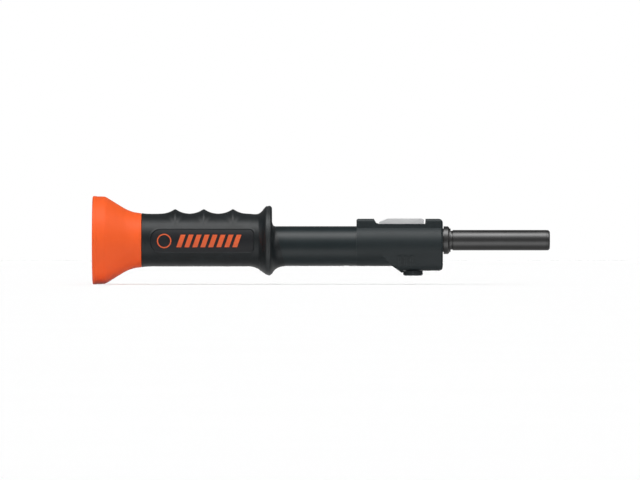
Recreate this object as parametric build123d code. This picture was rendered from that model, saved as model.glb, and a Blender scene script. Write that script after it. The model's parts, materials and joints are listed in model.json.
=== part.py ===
from build123d import *
import math
import os

# Single-shot powder-actuated nail gun, struck with a hammer. Millimetres.
# +X runs along the bore towards the muzzle, +Z is the loading-port side, and the origin is on the
# bore axis at the muzzle face, so every station is at or below x = 0.

# ---- driving dimensions ----
TOOL_LENGTH = 350.0
NOSE_LENGTH = 76.0
COLLAR_LENGTH = 5.3
RECEIVER_LENGTH = 132.0
GRIP_LENGTH = 99.8
RIM_R = 33.8
GRIP_R = 20.1
HANDLE_R = 13.5
NOSE_R = 7.8
BARREL_R = 9.0
MUZZLE_BORE_R = 4.05
PISTON_BORE_R = 5.1
ROD_R = 6.0
RUN = 0.05
SNUG = 0.03
FACE_GAP = 0.7

# ---- stations along the bore ----
REAR_X = -TOOL_LENGTH
COLLAR_X = -NOSE_LENGTH - COLLAR_LENGTH
FRONT_X = COLLAR_X - FACE_GAP
SHOULDER_X = FRONT_X - RECEIVER_LENGTH
GRIP_FRONT_X = SHOULDER_X + 1.3
GRIP_REAR_X = GRIP_FRONT_X - GRIP_LENGTH
HANDLE_REAR_X = GRIP_REAR_X - 12.5
SPIGOT_X = SHOULDER_X - 30.0
BOSS_X = FRONT_X - 66.0
BREECH_X = BOSS_X + 2.0
BREECH_LENGTH = 20.0

# ---- receiver ----
TUBE_R = 15.25
TUBE_Z = -4.55
HOUSING_R = 15.9
HOUSING_Z = -3.8
LAND_Z = 16.4
LAND_HALF_WIDTH = 9.0
KEEL_R = 7.5
KEEL_HALF_WIDTH = 4.0
KEEL_Z = -23.4
BELLY_Z = -20.0
RAMP_X = -120.5
LIP_X = -112.4
LIP_Z = -24.9
PORT_X0, PORT_X1 = -131.0, -97.0
PORT_HALF_WIDTH = 6.0
PORT_Z = 12.5
SPRING_BORE_R = 8.6
PLUNGER_X = -104.8

BARREL_TRAVEL = 34.0


ON_BASE = (Align.CENTER, Align.CENTER, Align.MIN)
FROM_CORNER = (Align.MIN, Align.MIN, Align.MIN)


def bar(x0, x1, radius, y=0.0, z=0.0):
    """A round bar along X from x0 to x1."""
    return Pos(x0, y, z) * Rot(0, 90, 0) * Cylinder(radius, x1 - x0, align=ON_BASE)


def ring(x0, x1, outer, inner, y=0.0, z=0.0):
    """A round tube along X."""
    return bar(x0, x1, outer, y, z) - bar(x0, x1, inner, y, z)


def post(z0, z1, radius, x=PLUNGER_X, y=0.0):
    """A round bar along Z from z0 to z1."""
    return Pos(x, y, z0) * Cylinder(radius, z1 - z0, align=ON_BASE)


def block(x0, x1, y0, y1, z0, z1):
    """A box between two corners."""
    return Pos(x0, y0, z0) * Box(x1 - x0, y1 - y0, z1 - z0, align=FROM_CORNER)


def turned(edges, z=0.0):
    """A closed outline in the XZ plane, turned about a line along X at height z."""
    outline = make_face(Wire(edges))
    return revolve(outline, Axis((0, 0, z), (1, 0, 0)))


def polygon_edges(points):
    """The closed outline through (x, z) points."""
    spots = [(x, 0, z) for x, z in points]
    return Polyline(*spots, close=True).edges()


def side_plate(points, y0, y1):
    """A plate with an (x, z) outline, from y0 to y1."""
    outline = make_face(Wire(polygon_edges(points)))
    plate = extrude(outline, amount=y1 - y0, dir=(0, 1, 0))
    return Pos(0, y0, 0) * plate


def obround(x0, x1, z0, z1, y0, y1, rear_radius, front_radius):
    """A plate with rounded corners in side view, from y0 to y1."""
    plate = side_plate([(x0, z0), (x1, z0), (x1, z1), (x0, z1)], y0, y1)
    corners = plate.edges().filter_by(Axis.Y)
    rear = [e for e in corners if abs(e.center().X - x0) < 0.01]
    plate = fillet(rear, rear_radius)
    front = [e for e in plate.edges().filter_by(Axis.Y) if abs(e.center().X - x1) < 0.01]
    return fillet(front, front_radius)


def coil(x0, x1, mean_radius, wire, turns):
    """A round-wire compression spring along X."""
    pitch = (x1 - x0 - wire) / turns
    path = Helix(pitch, pitch * turns, mean_radius)
    section = Plane(origin=path @ 0, z_dir=path % 0) * Circle(wire / 2)
    spring = sweep(section, path, is_frenet=True)
    return Pos(x0 + wire / 2, 0, 0) * Rot(0, 90, 0) * spring


# ---- strike guard and grip ----
GUARD_MOUTH_R = 30.6
GUARD_RIM_LENGTH = 9.4
GUARD_FLOOR_X = HANDLE_REAR_X - 1.0
GUARD_NECK_X = -324.0
GUARD_NECK_R = 23.4
GUARD_HUB_R = 20.6
GUARD_SCREW_X = -319.0
GUARD_SCREW_R = 2.0
GUARD_SCREW_TOP = 20.2


def make_strike_guard():
    """The flared cup around the strike face, with its hub on the handle tube."""
    rim_x = REAR_X + GUARD_RIM_LENGTH
    lip = 0.8
    outline = [
        Line((REAR_X, 0, GUARD_MOUTH_R), (REAR_X, 0, RIM_R - lip)),
        Line((REAR_X, 0, RIM_R - lip), (REAR_X + lip, 0, RIM_R)),
        Line((REAR_X + lip, 0, RIM_R), (rim_x, 0, RIM_R)),
        Line((rim_x, 0, RIM_R), (GUARD_NECK_X, 0, GUARD_NECK_R)),
    ]
    slope = Vector(GUARD_NECK_X - rim_x, 0, GUARD_NECK_R - RIM_R)
    neck = TangentArc((GUARD_NECK_X, 0, GUARD_NECK_R), (GRIP_REAR_X, 0, GUARD_HUB_R), tangent=slope)
    bore_r = HANDLE_R + SNUG
    inside = [
        (GRIP_REAR_X, GUARD_HUB_R),
        (GRIP_REAR_X, bore_r),
        (GUARD_FLOOR_X, bore_r),
        (GUARD_FLOOR_X, 18.6),
        (rim_x + 0.8, GUARD_MOUTH_R - 0.6),
        (REAR_X, GUARD_MOUTH_R),
    ]
    for (xa, ra), (xb, rb) in zip(inside, inside[1:]):
        outline.append(Line((xa, 0, ra), (xb, 0, rb)))
    guard = turned(outline[:4] + [neck] + outline[4:])
    for side in (1, -1):
        guard -= Rot(90 - 90 * side, 0, 0) * post(bore_r - 1, RIM_R, GUARD_SCREW_R + SNUG, x=GUARD_SCREW_X)
    return guard


def make_guard_screws():
    """Two set screws that hold the guard's hub on the handle tube."""
    screw = post(HANDLE_R + SNUG, GUARD_SCREW_TOP, GUARD_SCREW_R, x=GUARD_SCREW_X)
    socket = Pos(GUARD_SCREW_X, 0, GUARD_SCREW_TOP) * extrude(RegularPolygon(1.1, 6), amount=-2.0)
    screw -= socket
    return Compound([screw, Rot(180, 0, 0) * screw])


FLANGE_R = 26.2
FLANGE_REAR_X = -217.4
FLANGE_ROOT_X = -223.6
WEB_DEPTH = 25.4
WEB_LENGTH = 10.5
WEB_FADE = 3.3
WEB_HALF_WIDTH = 7.0
RIDGE_XS = (-286.8, -264.9, -242.6)
RIDGE_R = 19.0
RIDGE_Z = 4.6
RIDGE_HALF_WIDTH = 7.4
RIDGE_TIP = 0.7
RECESS_X0, RECESS_X1 = -305.5, -226.5
RECESS_Z0, RECESS_Z1 = -9.4, 8.2
RECESS_R = 19.0
BADGE_R = 19.7
MARK_R = 19.95
MARK_X0 = -284.0
MARK_PITCH = 6.1
MARK_WIDTH = 3.7
MARK_COUNT = 8
MARK_SLANT = 3.4
MARK_HALF_HEIGHT = 4.8
EMBLEM_X = -295.0
EMBLEM_R = 5.5
EMBLEM_BAND = 0.9


def finger_ridge(x):
    """A crescent ridge around the top of the grip."""
    top = RIDGE_Z + RIDGE_R
    foot = GRIP_R - 0.5
    core = RIDGE_Z + 8
    flanks = []
    for side in (-1, 1):
        low = (x + side * RIDGE_HALF_WIDTH, 0, foot)
        middle = (x + side * 3.2, 0, top - 2.2)
        high = (x + side * RIDGE_TIP, 0, top - 0.25)
        flanks.append(ThreePointArc(low, middle, high))
        flanks.append(Line(low, (x + side * RIDGE_HALF_WIDTH, 0, core)))
    crest = ThreePointArc((x - RIDGE_TIP, 0, top - 0.25), (x, 0, top), (x + RIDGE_TIP, 0, top - 0.25))
    base = Line((x - RIDGE_HALF_WIDTH, 0, core), (x + RIDGE_HALF_WIDTH, 0, core))
    return turned(flanks + [crest, base], RIDGE_Z)


def grip_recess(inset, inner, outer, side):
    """A curved panel in the grip's side: the part of a tube inside a rounded outline."""
    outline = obround(RECESS_X0 + inset, RECESS_X1 - inset, RECESS_Z0 + inset, RECESS_Z1 - inset,
                      0, 40, 8.0 - inset, 3.6 - inset)
    if side < 0:
        outline = mirror(outline, Plane.XZ)
    return outline & ring(RECESS_X0 - 1, RECESS_X1 + 1, outer, inner)


def flange_web():
    """The web under the tube in front of the flange, which runs out along an easing curve."""
    foot = TUBE_R - TUBE_Z
    outline = [(GRIP_FRONT_X - 1, -foot + 3), (GRIP_FRONT_X - 1, -WEB_DEPTH)]
    steps = 6
    for i in range(steps + 1):
        x = WEB_LENGTH * i / steps
        outline.append((GRIP_FRONT_X + x, -foot - 0.1 - (WEB_DEPTH - foot) * math.exp(-x / WEB_FADE)))
    outline.append((GRIP_FRONT_X + WEB_LENGTH, -foot + 3))
    return side_plate(outline, -WEB_HALF_WIDTH, WEB_HALF_WIDTH)


def make_grip_sleeve():
    """The rubber hand grip: round sleeve, finger ridges, hand-stop flange and its lower web."""
    bore_r = HANDLE_R + SNUG
    flare = [
        (GRIP_REAR_X, bore_r - 2),
        (GRIP_FRONT_X, bore_r - 2),
        (GRIP_FRONT_X, FLANGE_R - 0.5),
        (GRIP_FRONT_X - 0.6, FLANGE_R),
        (FLANGE_REAR_X, FLANGE_R - 0.3),
        (FLANGE_ROOT_X, GRIP_R),
        (GRIP_REAR_X + 0.6, GRIP_R),
        (GRIP_REAR_X, GRIP_R - 0.6),
    ]
    grip = turned(polygon_edges(flare))
    for x in RIDGE_XS:
        grip += finger_ridge(x)
    grip += flange_web()
    grip -= bar(GRIP_REAR_X - 1, SHOULDER_X, bore_r)
    grip -= bar(SHOULDER_X, GRIP_FRONT_X + WEB_LENGTH + 1, TUBE_R + SNUG, z=TUBE_Z)
    for side in (1, -1):
        grip -= grip_recess(0, RECESS_R, GRIP_R + 6, side)
    return grip


def make_badge(side):
    """The curved insert in the grip's side."""
    return grip_recess(0.25, RECESS_R + SNUG, BADGE_R, side)


def make_marks(side):
    """A plain motif on the insert: a ring and a row of slanted bars."""
    shell = ring(RECESS_X0, RECESS_X1, MARK_R, BADGE_R + 0.01)
    slant = MARK_SLANT / 2
    middle = (RECESS_Z0 + RECESS_Z1) / 2
    marks = []
    for i in range(MARK_COUNT):
        x = MARK_X0 + MARK_PITCH * i
        low, high = middle - MARK_HALF_HEIGHT, middle + MARK_HALF_HEIGHT
        corners = [
            (x - slant, low), (x + MARK_WIDTH - slant, low),
            (x + MARK_WIDTH + slant, high), (x + slant, high),
        ]
        y0, y1 = (0, 30) if side > 0 else (-30, 0)
        marks.append(side_plate(corners, y0, y1) & shell)
    hoop = post(0, 30, EMBLEM_R, x=0) - post(0, 30, EMBLEM_R - EMBLEM_BAND, x=0)
    marks.append(Pos(EMBLEM_X, 0, middle) * Rot(-90 * side, 0, 0) * hoop & shell)
    return Compound([solid for m in marks for solid in m.solids()])


# ---- handle tube and what it holds ----
HANDLE_BORE_R = 10.5
HANDLE_PIN_X = -229.0
HANDLE_PIN_R = 1.5
REAR_BUSH_X1 = -305.0
STOP_BUSH_X0, STOP_BUSH_X1 = -286.0, -266.3
COLLAR_STOP_X1 = -260.0
STOP_COLLAR_LENGTH = 6.0
COLLAR_PIN_X = COLLAR_STOP_X1 - STOP_COLLAR_LENGTH / 2
COLLAR_PIN_R = 1.25
SPRING_SEAT_X = -193.0
WASHER_LENGTH = 3.0
SPRING_MEAN_R = 7.35
SPRING_WIRE = 1.6
SPRING_TURNS = 12


def make_handle_tube():
    """The steel tube inside the grip, from the guard to the receiver's shoulder."""
    tube = ring(HANDLE_REAR_X, SHOULDER_X, HANDLE_R, HANDLE_BORE_R)
    for side in (1, -1):
        hole = post(HANDLE_BORE_R - 1, HANDLE_R + 1, HANDLE_PIN_R + SNUG, x=HANDLE_PIN_X)
        tube -= Rot(90 * side, 0, 0) * hole
    return tube


def make_handle_pins():
    """Two cross pins that lock the tube on the receiver's spigot."""
    pin = post(SPRING_BORE_R + 0.3, HANDLE_R - 0.2, HANDLE_PIN_R, x=HANDLE_PIN_X)
    return Compound([Rot(90, 0, 0) * pin, Rot(-90, 0, 0) * pin])


def make_bush(x0, x1):
    """A guide bush for the striker rod."""
    return ring(x0, x1, HANDLE_BORE_R - SNUG, ROD_R + RUN)


def make_spring_washer():
    """The hardened washer under the front end of the striker spring."""
    return ring(SPRING_SEAT_X - WASHER_LENGTH, SPRING_SEAT_X, SPRING_BORE_R - SNUG, ROD_R + 0.1)


def make_striker_spring():
    """The striker's return spring."""
    x0 = COLLAR_STOP_X1 + 0.1
    x1 = SPRING_SEAT_X - WASHER_LENGTH - 0.1
    return coil(x0, x1, SPRING_MEAN_R, SPRING_WIRE, SPRING_TURNS)


# ---- striker ----
CAP_X0, CAP_X1 = -344.0, -334.0
CAP_R = 13.0
ROD_FRONT_X = -176.0
PIN_TIP_X = -153.0
PIN_Z = -2.3
PIN_R = 1.1
PIN_DEPTH = 10.0
PIN_SCREW_X = ROD_FRONT_X - 6.0
PIN_SCREW_R = 1.5
COLLAR_R = 8.5
CAP_DEPTH = 3.0


def make_strike_cap():
    """The hammer's striking cap, on the rear end of the rod."""
    cap = bar(CAP_X0, CAP_X1, CAP_R)
    cap = chamfer(cap.edges().group_by(Axis.X)[0], 1.2)
    cap = chamfer(cap.edges().group_by(Axis.X)[-1], 0.8)
    cap -= bar(CAP_X0 + CAP_DEPTH, CAP_X1, ROD_R + SNUG)
    return cap


def make_striker_rod():
    """The rod that carries the blow to the firing pin."""
    rod = bar(CAP_X0 + CAP_DEPTH + SNUG, ROD_FRONT_X, ROD_R)
    rod = chamfer(rod.edges().group_by(Axis.X)[-1], 0.8)
    rod -= bar(ROD_FRONT_X - PIN_DEPTH, ROD_FRONT_X, PIN_R + SNUG, z=PIN_Z)
    rod -= post(-ROD_R - 1, ROD_R + 1, COLLAR_PIN_R + SNUG, x=COLLAR_PIN_X)
    rod -= post(PIN_Z + PIN_R, ROD_R + 1, PIN_SCREW_R + SNUG, x=PIN_SCREW_X)
    return rod


def make_striker_collar():
    """The stop collar between the stop bush and the spring."""
    collar = ring(COLLAR_STOP_X1 - STOP_COLLAR_LENGTH, COLLAR_STOP_X1, COLLAR_R, ROD_R + SNUG)
    return collar - post(-COLLAR_R, COLLAR_R, COLLAR_PIN_R + SNUG, x=COLLAR_PIN_X)


def make_collar_pin():
    """The cross pin through collar and rod."""
    return post(-COLLAR_R + 0.4, COLLAR_R - 0.4, COLLAR_PIN_R, x=COLLAR_PIN_X)


def make_firing_pin():
    """The rim-fire pin, set below the bore axis."""
    pin = bar(ROD_FRONT_X - PIN_DEPTH + SNUG, PIN_TIP_X, PIN_R, z=PIN_Z)
    return fillet(pin.edges().group_by(Axis.X)[-1], 0.5)


def make_pin_screw():
    """The set screw that holds the firing pin in the rod."""
    top = ROD_R - 0.6
    screw = post(PIN_Z + PIN_R + SNUG, top, PIN_SCREW_R, x=PIN_SCREW_X)
    socket = Pos(PIN_SCREW_X, 0, top) * extrude(RegularPolygon(0.8, 6), amount=-1.5)
    return screw - socket


# ---- receiver ----
BREECH_SCREW_R = 2.5
BREECH_SCREW_Z0, BREECH_SCREW_Z1 = -18.8, -5.5
BREECH_SCREW_X = BREECH_X - BREECH_LENGTH / 2
NOSE_BUSH_X = FRONT_X - 10.0
NOSE_BUSH_R = 11.0
DRAG_RING_X = FRONT_X - 5.0
DRAG_RING_R = 9.75
DRAG_WIRE_R = 0.65
STEM_R = 2.5
SHANK_R = 4.2
SLEEVE_R = 5.5
SHANK_TOP_Z = -12.0
SLEEVE_TOP_Z = -20.3
SHIELD_Y0, SHIELD_Y1 = 6.2, 7.0
SHIELD_FOOT_Y = 8.85
SHIELD_TOP_Z = 16.6
SHIELD_SLOPE = 6.5
SHIELD_REAR_RISE = 1.4
SHIELD_SCREW_XS = (-124.5, -103.0)
SHIELD_SCREW_Y = 7.95
SHIELD_SCREW_R = 0.6
SHIELD_HEAD_R = 0.85
SHIELD_SCREW_Z = 10.0
RIB_XS = (-115.2, -110.6, -106.0)
RIB_WIDTH = 1.8
RIB_HEIGHT = 0.9
RIB_TOP_Z = -12.4
LAND_CORNER_R = 2.5
PORT_LEAD_IN = 2.4
PORT_LEAD_RISE = 0.8
REAR_BREAK = 0.9
FRONT_LAND = 13.4
FRONT_CORNER_R = 3.2
FRONT_BREAK = 1.3
LIP_HALF_WIDTH = 6.5
KEEL_FADE_X = -127.5
KEEL_FADE_Z = -12.0


def keeled_slab(x0, x1, extra=0.0):
    """A slab of the receiver's front: its round wall with the keel drawn out below."""
    rim = [Pos(0, HOUSING_Z) * Circle(HOUSING_R + extra).edge()]
    for side in (1, -1):
        rim.append(Pos(side * KEEL_HALF_WIDTH, KEEL_Z + KEEL_R) * Circle(KEEL_R + extra).edge())
    return Pos(x0, 0, 0) * extrude(Plane.YZ * make_hull(rim), amount=x1 - x0)


def keel():
    """The keel, which grows out of the flanks along a slope and carries the plunger."""
    slope = (BELLY_Z - KEEL_FADE_Z) / (RAMP_X - KEEL_FADE_X)
    low_z = BELLY_Z + slope * (FRONT_X - RAMP_X)
    outline = [(KEEL_FADE_X, KEEL_FADE_Z), (FRONT_X, low_z), (FRONT_X, LAND_Z), (KEEL_FADE_X, LAND_Z)]
    return keeled_slab(BOSS_X, FRONT_X) & side_plate(outline, -TUBE_R - 1, TUBE_R + 1)


def land():
    """The flat-topped land that the loading port is cut through, with rounded shoulders."""
    solid = block(BOSS_X, FRONT_X, -LAND_HALF_WIDTH, LAND_HALF_WIDTH, 0, LAND_Z)
    shoulders = [e for e in solid.edges().filter_by(Axis.X) if e.center().Z > LAND_Z - 0.01]
    return fillet(shoulders, LAND_CORNER_R)


def front_section():
    """The receiver's front: round wall, a land cut down along the port, a keel and the ramp up to it."""
    solid = bar(BOSS_X, FRONT_X, HOUSING_R, z=HOUSING_Z) + bar(BOSS_X, FRONT_X, TUBE_R, z=TUBE_Z)
    solid = solid + land() + keel()
    solid = chamfer(solid.faces().sort_by(Axis.X)[-1].outer_wire().edges(), FRONT_BREAK)
    port_front_x = FRONT_X - FRONT_LAND
    port_rear_x = PORT_X0 + 0.4
    outline = [
        (BOSS_X, BELLY_Z), (RAMP_X, BELLY_Z), (LIP_X - 2.9, KEEL_Z),
        (FRONT_X, KEEL_Z), (FRONT_X, LAND_Z), (port_front_x + 0.3, LAND_Z), (port_front_x, PORT_Z),
        (port_rear_x, PORT_Z), (port_rear_x - PORT_LEAD_IN, PORT_Z + PORT_LEAD_RISE),
        (port_rear_x - PORT_LEAD_IN - 1.8, LAND_Z), (BOSS_X + REAR_BREAK, LAND_Z),
        (BOSS_X, LAND_Z - REAR_BREAK),
    ]
    plate = side_plate(outline, -20, 20)
    corners = [e for e in plate.edges().filter_by(Axis.Y) if abs(e.center().X - FRONT_X) < 0.01]
    plate = fillet(corners, FRONT_CORNER_R)
    return (solid & plate) + plunger_lip()


def plunger_lip():
    """The small lip at the ramp's foot, which shields the knob."""
    outline = [
        (RAMP_X + 1, BELLY_Z + 1), (RAMP_X + 1, BELLY_Z - 0.6), (LIP_X - 1.4, LIP_Z + 0.2),
        (LIP_X - 0.4, LIP_Z), (LIP_X, LIP_Z + 0.4), (LIP_X, BELLY_Z + 1),
    ]
    return side_plate(outline, -LIP_HALF_WIDTH, LIP_HALF_WIDTH)


def make_ribs():
    """Short upright ribs beside the plunger, standing off both flanks of the keel."""
    ribs = []
    half = RIB_WIDTH / 2
    for x in RIB_XS:
        slab = keeled_slab(x - half, x + half, RIB_HEIGHT)
        for y0, y1 in ((4, 20), (-20, -4)):
            ribs.append(slab & block(x - half, x + half, y0, y1, BELLY_Z, RIB_TOP_Z))
    return ribs


def make_receiver():
    """The main housing: spigot, barrel tube, ported front and plunger boss."""
    body = bar(SPIGOT_X, SHOULDER_X + 1, HANDLE_BORE_R - 0.05)
    body += bar(SHOULDER_X, BOSS_X + 5, TUBE_R, z=TUBE_Z)
    body += front_section()
    for rib in make_ribs():
        body += rib
    body -= bar(SPIGOT_X - 1, SPRING_SEAT_X, SPRING_BORE_R)
    body -= bar(SPRING_SEAT_X - 1, BREECH_X - BREECH_LENGTH + 1, ROD_R + RUN)
    body -= bar(BREECH_X - BREECH_LENGTH, FRONT_X + 1, BARREL_R + RUN)
    body -= bar(NOSE_BUSH_X, FRONT_X + 1, NOSE_BUSH_R + SNUG)
    body -= block(PORT_X0, PORT_X1, -PORT_HALF_WIDTH, PORT_HALF_WIDTH, 5, 20)
    body -= post(BELLY_Z - 1, 0, BREECH_SCREW_R + SNUG, x=BREECH_SCREW_X)
    body -= post(SHANK_TOP_Z - 1, 0, STEM_R + RUN)
    body -= post(SLEEVE_TOP_Z - 1, SHANK_TOP_Z, SHANK_R + RUN)
    body -= post(KEEL_Z - 3, SLEEVE_TOP_Z, SLEEVE_R + SNUG)
    body -= post(KEEL_Z - 3, KEEL_Z, KNOB_R + 0.25)
    for side in (1, -1):
        body -= Rot(90 * side, 0, 0) * post(SPRING_BORE_R - 1, HANDLE_R, HANDLE_PIN_R + SNUG, x=HANDLE_PIN_X)
    for x in SHIELD_SCREW_XS:
        body -= post(SHIELD_SCREW_Z - 0.2, PORT_Z + 1, SHIELD_SCREW_R + SNUG, x=x, y=SHIELD_SCREW_Y)
    return body


def make_breech_block():
    """The breech block: rim-fire pin hole and a slot for the extractor's hook."""
    block_r = BARREL_R + RUN - SNUG
    breech = bar(BREECH_X - BREECH_LENGTH, BREECH_X - 0.1, block_r)
    breech -= bar(BREECH_X - BREECH_LENGTH - 1, BREECH_X + 1, PIN_R + 0.1, z=PIN_Z)
    breech -= block(BREECH_X - 7, BREECH_X + 1, -2.3, 2.3, 2.3, 12)
    breech -= post(-BARREL_R - 1, BREECH_SCREW_Z1 + 0.1, BREECH_SCREW_R + SNUG, x=BREECH_SCREW_X)
    return breech


def make_breech_screw():
    """The set screw that locks the breech block, from below."""
    screw = post(BREECH_SCREW_Z0, BREECH_SCREW_Z1, BREECH_SCREW_R, x=BREECH_SCREW_X)
    socket = Pos(BREECH_SCREW_X, 0, BREECH_SCREW_Z0) * extrude(RegularPolygon(1.4, 6), amount=3.0)
    return screw - socket


def make_nose_bush():
    """The bronze bush that guides the barrel at the receiver's mouth."""
    bush = ring(NOSE_BUSH_X + SNUG, FRONT_X - 0.2, NOSE_BUSH_R, BARREL_R + RUN)
    groove_r = DRAG_RING_R + DRAG_WIRE_R + RUN
    return bush - bar(DRAG_RING_X - 1.0, DRAG_RING_X + 1.0, groove_r)


def make_drag_ring():
    """The spring ring whose drag holds the barrel where it is left."""
    return Pos(DRAG_RING_X, 0, 0) * Rot(0, 90, 0) * Torus(DRAG_RING_R, DRAG_WIRE_R)


def make_port_shield():
    """The bright plate along the far side of the loading port."""
    x0, x1 = PORT_X0 + 0.4, PORT_X1 + 0.6
    z0 = PORT_Z + 0.02
    outline = [
        (x0, z0), (x1, z0), (x1, SHIELD_TOP_Z), (x0 + SHIELD_SLOPE, SHIELD_TOP_Z),
        (x0, z0 + SHIELD_REAR_RISE),
    ]
    wall = side_plate(outline, SHIELD_Y0, SHIELD_Y1)
    foot = block(x0, x1, SHIELD_Y0, SHIELD_FOOT_Y, z0, PORT_Z + 1.0)
    shield = wall + foot
    top = [e for e in shield.edges().filter_by(Axis.Y) if e.center().Z > SHIELD_TOP_Z - 0.01]
    shield = fillet(top, 1.6)
    for x in SHIELD_SCREW_XS:
        shield -= post(PORT_Z - 1, PORT_Z + 2, SHIELD_SCREW_R + 0.1, x=x, y=SHIELD_SCREW_Y)
    return shield


def make_shield_screws():
    """Two small screws through the shield's foot."""
    screws = []
    for x in SHIELD_SCREW_XS:
        shank = post(SHIELD_SCREW_Z, PORT_Z + 1.05, SHIELD_SCREW_R, x=x, y=SHIELD_SCREW_Y)
        head = post(PORT_Z + 1.03, PORT_Z + 1.7, SHIELD_HEAD_R, x=x, y=SHIELD_SCREW_Y)
        screws.append(shank + head)
    return Compound([s for screw in screws for s in screw.solids()])


# ---- plunger ----
KNOB_R = 7.4
KNOB_Z0, KNOB_Z1 = -27.2, -23.6
STEM_TIP_Z = -6.85
SPRING_TOP_Z = -13.6
PULL_ROD_R = 2.0
KNOB_FLOOR = 1.2


def make_stop_plunger():
    """The plunger whose tip rides in the barrel's slot and stops its travel."""
    tip = post(SPRING_TOP_Z, STEM_TIP_Z, STEM_R)
    shank = post(SPRING_TOP_Z, SHANK_TOP_Z - 0.1, SHANK_R)
    pull_rod = post(KNOB_Z0 + KNOB_FLOOR, SHANK_TOP_Z - 1, PULL_ROD_R)
    return tip + shank + pull_rod


def make_plunger_knob():
    """The knurled pull knob on the plunger's stem."""
    knob = post(KNOB_Z0, KNOB_Z1, KNOB_R)
    knob = fillet(knob.edges().group_by(Axis.Z)[0], 1.3)
    knob = fillet(knob.edges().group_by(Axis.Z)[-1], 0.3)
    return knob - post(KNOB_Z0 + KNOB_FLOOR - SNUG, KNOB_Z1, PULL_ROD_R + SNUG)


def make_plunger_sleeve():
    """The screwed sleeve that closes the plunger's bore."""
    sleeve = post(KEEL_Z - 0.1, SLEEVE_TOP_Z - SNUG, SLEEVE_R)
    return sleeve - post(KEEL_Z - 1, SLEEVE_TOP_Z, PULL_ROD_R + RUN)


def make_plunger_spring():
    """The spring that keeps the plunger's tip in the slot."""
    length = SPRING_TOP_Z - SLEEVE_TOP_Z
    spring = coil(0.1, length - 0.1, 3.2, 0.8, 4)
    return Pos(PLUNGER_X, 0, SPRING_TOP_Z) * Rot(0, 90, 0) * spring


# ---- barrel ----
CHAMBER_R = 2.95
CHAMBER_LENGTH = 16.0
RIM_RECESS_R = 3.7
RIM_RECESS = 1.5
COLLAR_OUTER_R = 10.65
COLLAR_FRONT_X = -NOSE_LENGTH - 0.9
NOSE_SPIGOT_R = 7.0
NOSE_SPIGOT_X = -NOSE_LENGTH - 16.0
BUFFER_X0, BUFFER_X1 = -51.8, -44.0
BUFFER_BORE_R = 3.65
SLOT_HALF_WIDTH = 2.6
SLOT_FLOOR_Z = -6.5
GROOVE_FLOOR_Z = 6.2
GROOVE_X1 = BREECH_X + 24.0
BAR_HALF_WIDTH = 1.95
STOP_PIN_X = GROOVE_X1 - 7.0
STOP_PIN_R = 0.8
STOP_PIN_Z0, STOP_PIN_Z1 = 5.5, 8.3
STOP_SLOT_R = 0.95
EXTRACTOR_TRAVEL = 5.0


def make_barrel():
    """The sliding barrel: chamber, piston bore, stop slot, extractor groove and collar."""
    barrel = bar(BREECH_X, -NOSE_LENGTH, BARREL_R)
    collar = bar(COLLAR_X, COLLAR_FRONT_X, COLLAR_OUTER_R)
    barrel += chamfer(collar.edges().group_by(Axis.X)[-1], 1.1)
    barrel -= bar(BREECH_X - 1, BREECH_X + RIM_RECESS, RIM_RECESS_R)
    barrel -= bar(BREECH_X, BREECH_X + CHAMBER_LENGTH, CHAMBER_R)
    barrel -= bar(BREECH_X + CHAMBER_LENGTH, 0, PISTON_BORE_R)
    barrel -= bar(NOSE_SPIGOT_X, 0, NOSE_SPIGOT_R + SNUG)
    slot_x0 = PLUNGER_X - BARREL_TRAVEL
    barrel -= block(slot_x0, PLUNGER_X, -SLOT_HALF_WIDTH, SLOT_HALF_WIDTH, -BARREL_R - 1, SLOT_FLOOR_Z)
    for x in (slot_x0, PLUNGER_X):
        barrel -= post(-BARREL_R - 1, SLOT_FLOOR_Z, SLOT_HALF_WIDTH, x=x)
    half = BAR_HALF_WIDTH + RUN
    barrel -= block(BREECH_X - 1, GROOVE_X1 + 0.2, -half, half, GROOVE_FLOOR_Z, BARREL_R + 1)
    barrel -= block(BREECH_X - 1, BREECH_X + RIM_RECESS, -half, half, 0, BARREL_R + 1)
    barrel -= post(STOP_PIN_Z0 - 0.1, BARREL_R + 1, STOP_PIN_R + SNUG, x=STOP_PIN_X)
    return barrel


def make_muzzle_tube():
    """The nose of the barrel, with the bore that guides the nail."""
    tube = bar(-NOSE_LENGTH + 0.02, 0, NOSE_R)
    tube = chamfer(tube.edges().group_by(Axis.X)[-1], 1.6, 1.0)
    tube -= ring(-NOSE_LENGTH + 0.02, -NOSE_LENGTH + 1.6, NOSE_R + 1, NOSE_R - 0.5)
    tube += bar(NOSE_SPIGOT_X + 0.05, -NOSE_LENGTH + 1, NOSE_SPIGOT_R)
    tube -= bar(NOSE_SPIGOT_X, BUFFER_X1, PISTON_BORE_R)
    tube -= bar(BUFFER_X1 - 1, 1, MUZZLE_BORE_R)
    return tube


def make_piston_buffer():
    """The urethane ring that stops the piston's head."""
    return ring(BUFFER_X0, BUFFER_X1 - SNUG, PISTON_BORE_R - SNUG, BUFFER_BORE_R)


def make_extractor_pin():
    """The stop pin in the barrel's groove, in the extractor's slot."""
    return post(STOP_PIN_Z0, STOP_PIN_Z1, STOP_PIN_R, x=STOP_PIN_X)


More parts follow.
